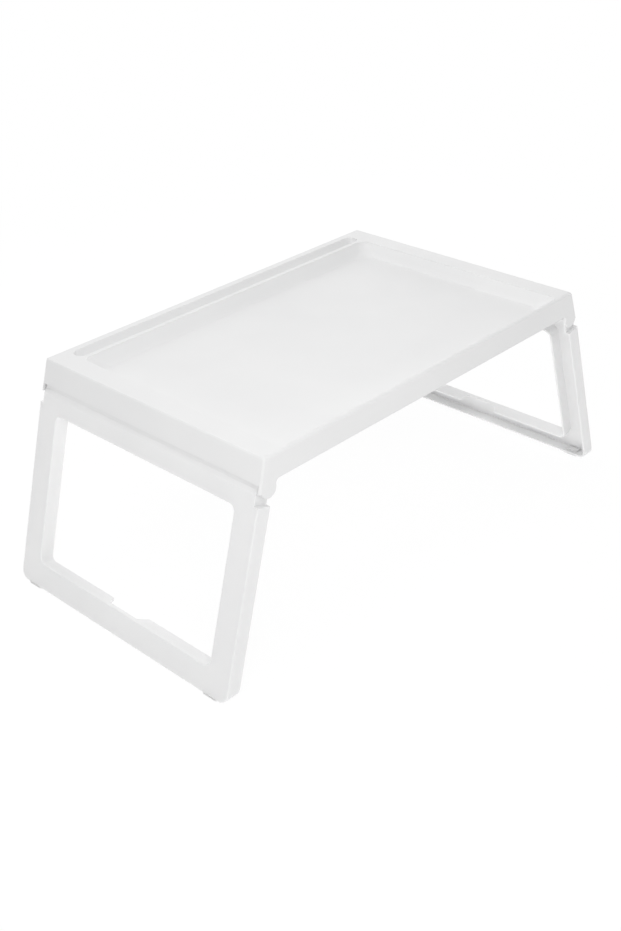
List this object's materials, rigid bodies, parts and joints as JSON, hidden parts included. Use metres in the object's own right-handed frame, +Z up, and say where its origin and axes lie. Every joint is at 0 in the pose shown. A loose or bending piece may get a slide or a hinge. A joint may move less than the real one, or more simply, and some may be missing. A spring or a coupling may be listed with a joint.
{
  "type": "folding bed table",
  "caption": "White moulded bed table: recessed tray with a tablet slot along the back, on splayed open-frame legs that hinge inward and fold flat under the tray.",
  "frame": {"origin": "middle of the footprint, on the floor under the foot pads, with the legs open", "axes": "+X along the tray from the left leg to the right leg, +Y towards the tablet slot, +Z up"},
  "size_m": [0.6896, 0.36, 0.266],
  "materials": {
    "white_shell": "satin moulded",
    "hinge_pin": "smooth turned",
    "foot_pad": "soft matte"
  },
  "bodies": {
    "tray": {"tray_top": "white_shell"},
    "left_frame": {"left_leg": "white_shell", "left_front_pin": "hinge_pin", "left_back_pin": "hinge_pin", "left_front_foot": "foot_pad", "left_back_foot": "foot_pad"},
    "right_frame": {"right_leg": "white_shell", "right_front_pin": "hinge_pin", "right_back_pin": "hinge_pin", "right_front_foot": "foot_pad", "right_back_foot": "foot_pad"}
  },
  "joints": [
    {"name": "left_leg_fold", "type": "hinge", "parent": "tray", "child": "left_frame", "pos_m": [-0.26464, 0, 0.2317], "axis": [0, -1, 0], "range_deg": [0, 106.5]},
    {"name": "right_leg_fold", "type": "hinge", "parent": "tray", "child": "right_frame", "pos_m": [0.26464, 0, 0.2317], "axis": [0, 1, 0], "range_deg": [0, 106.5]}
  ]
}
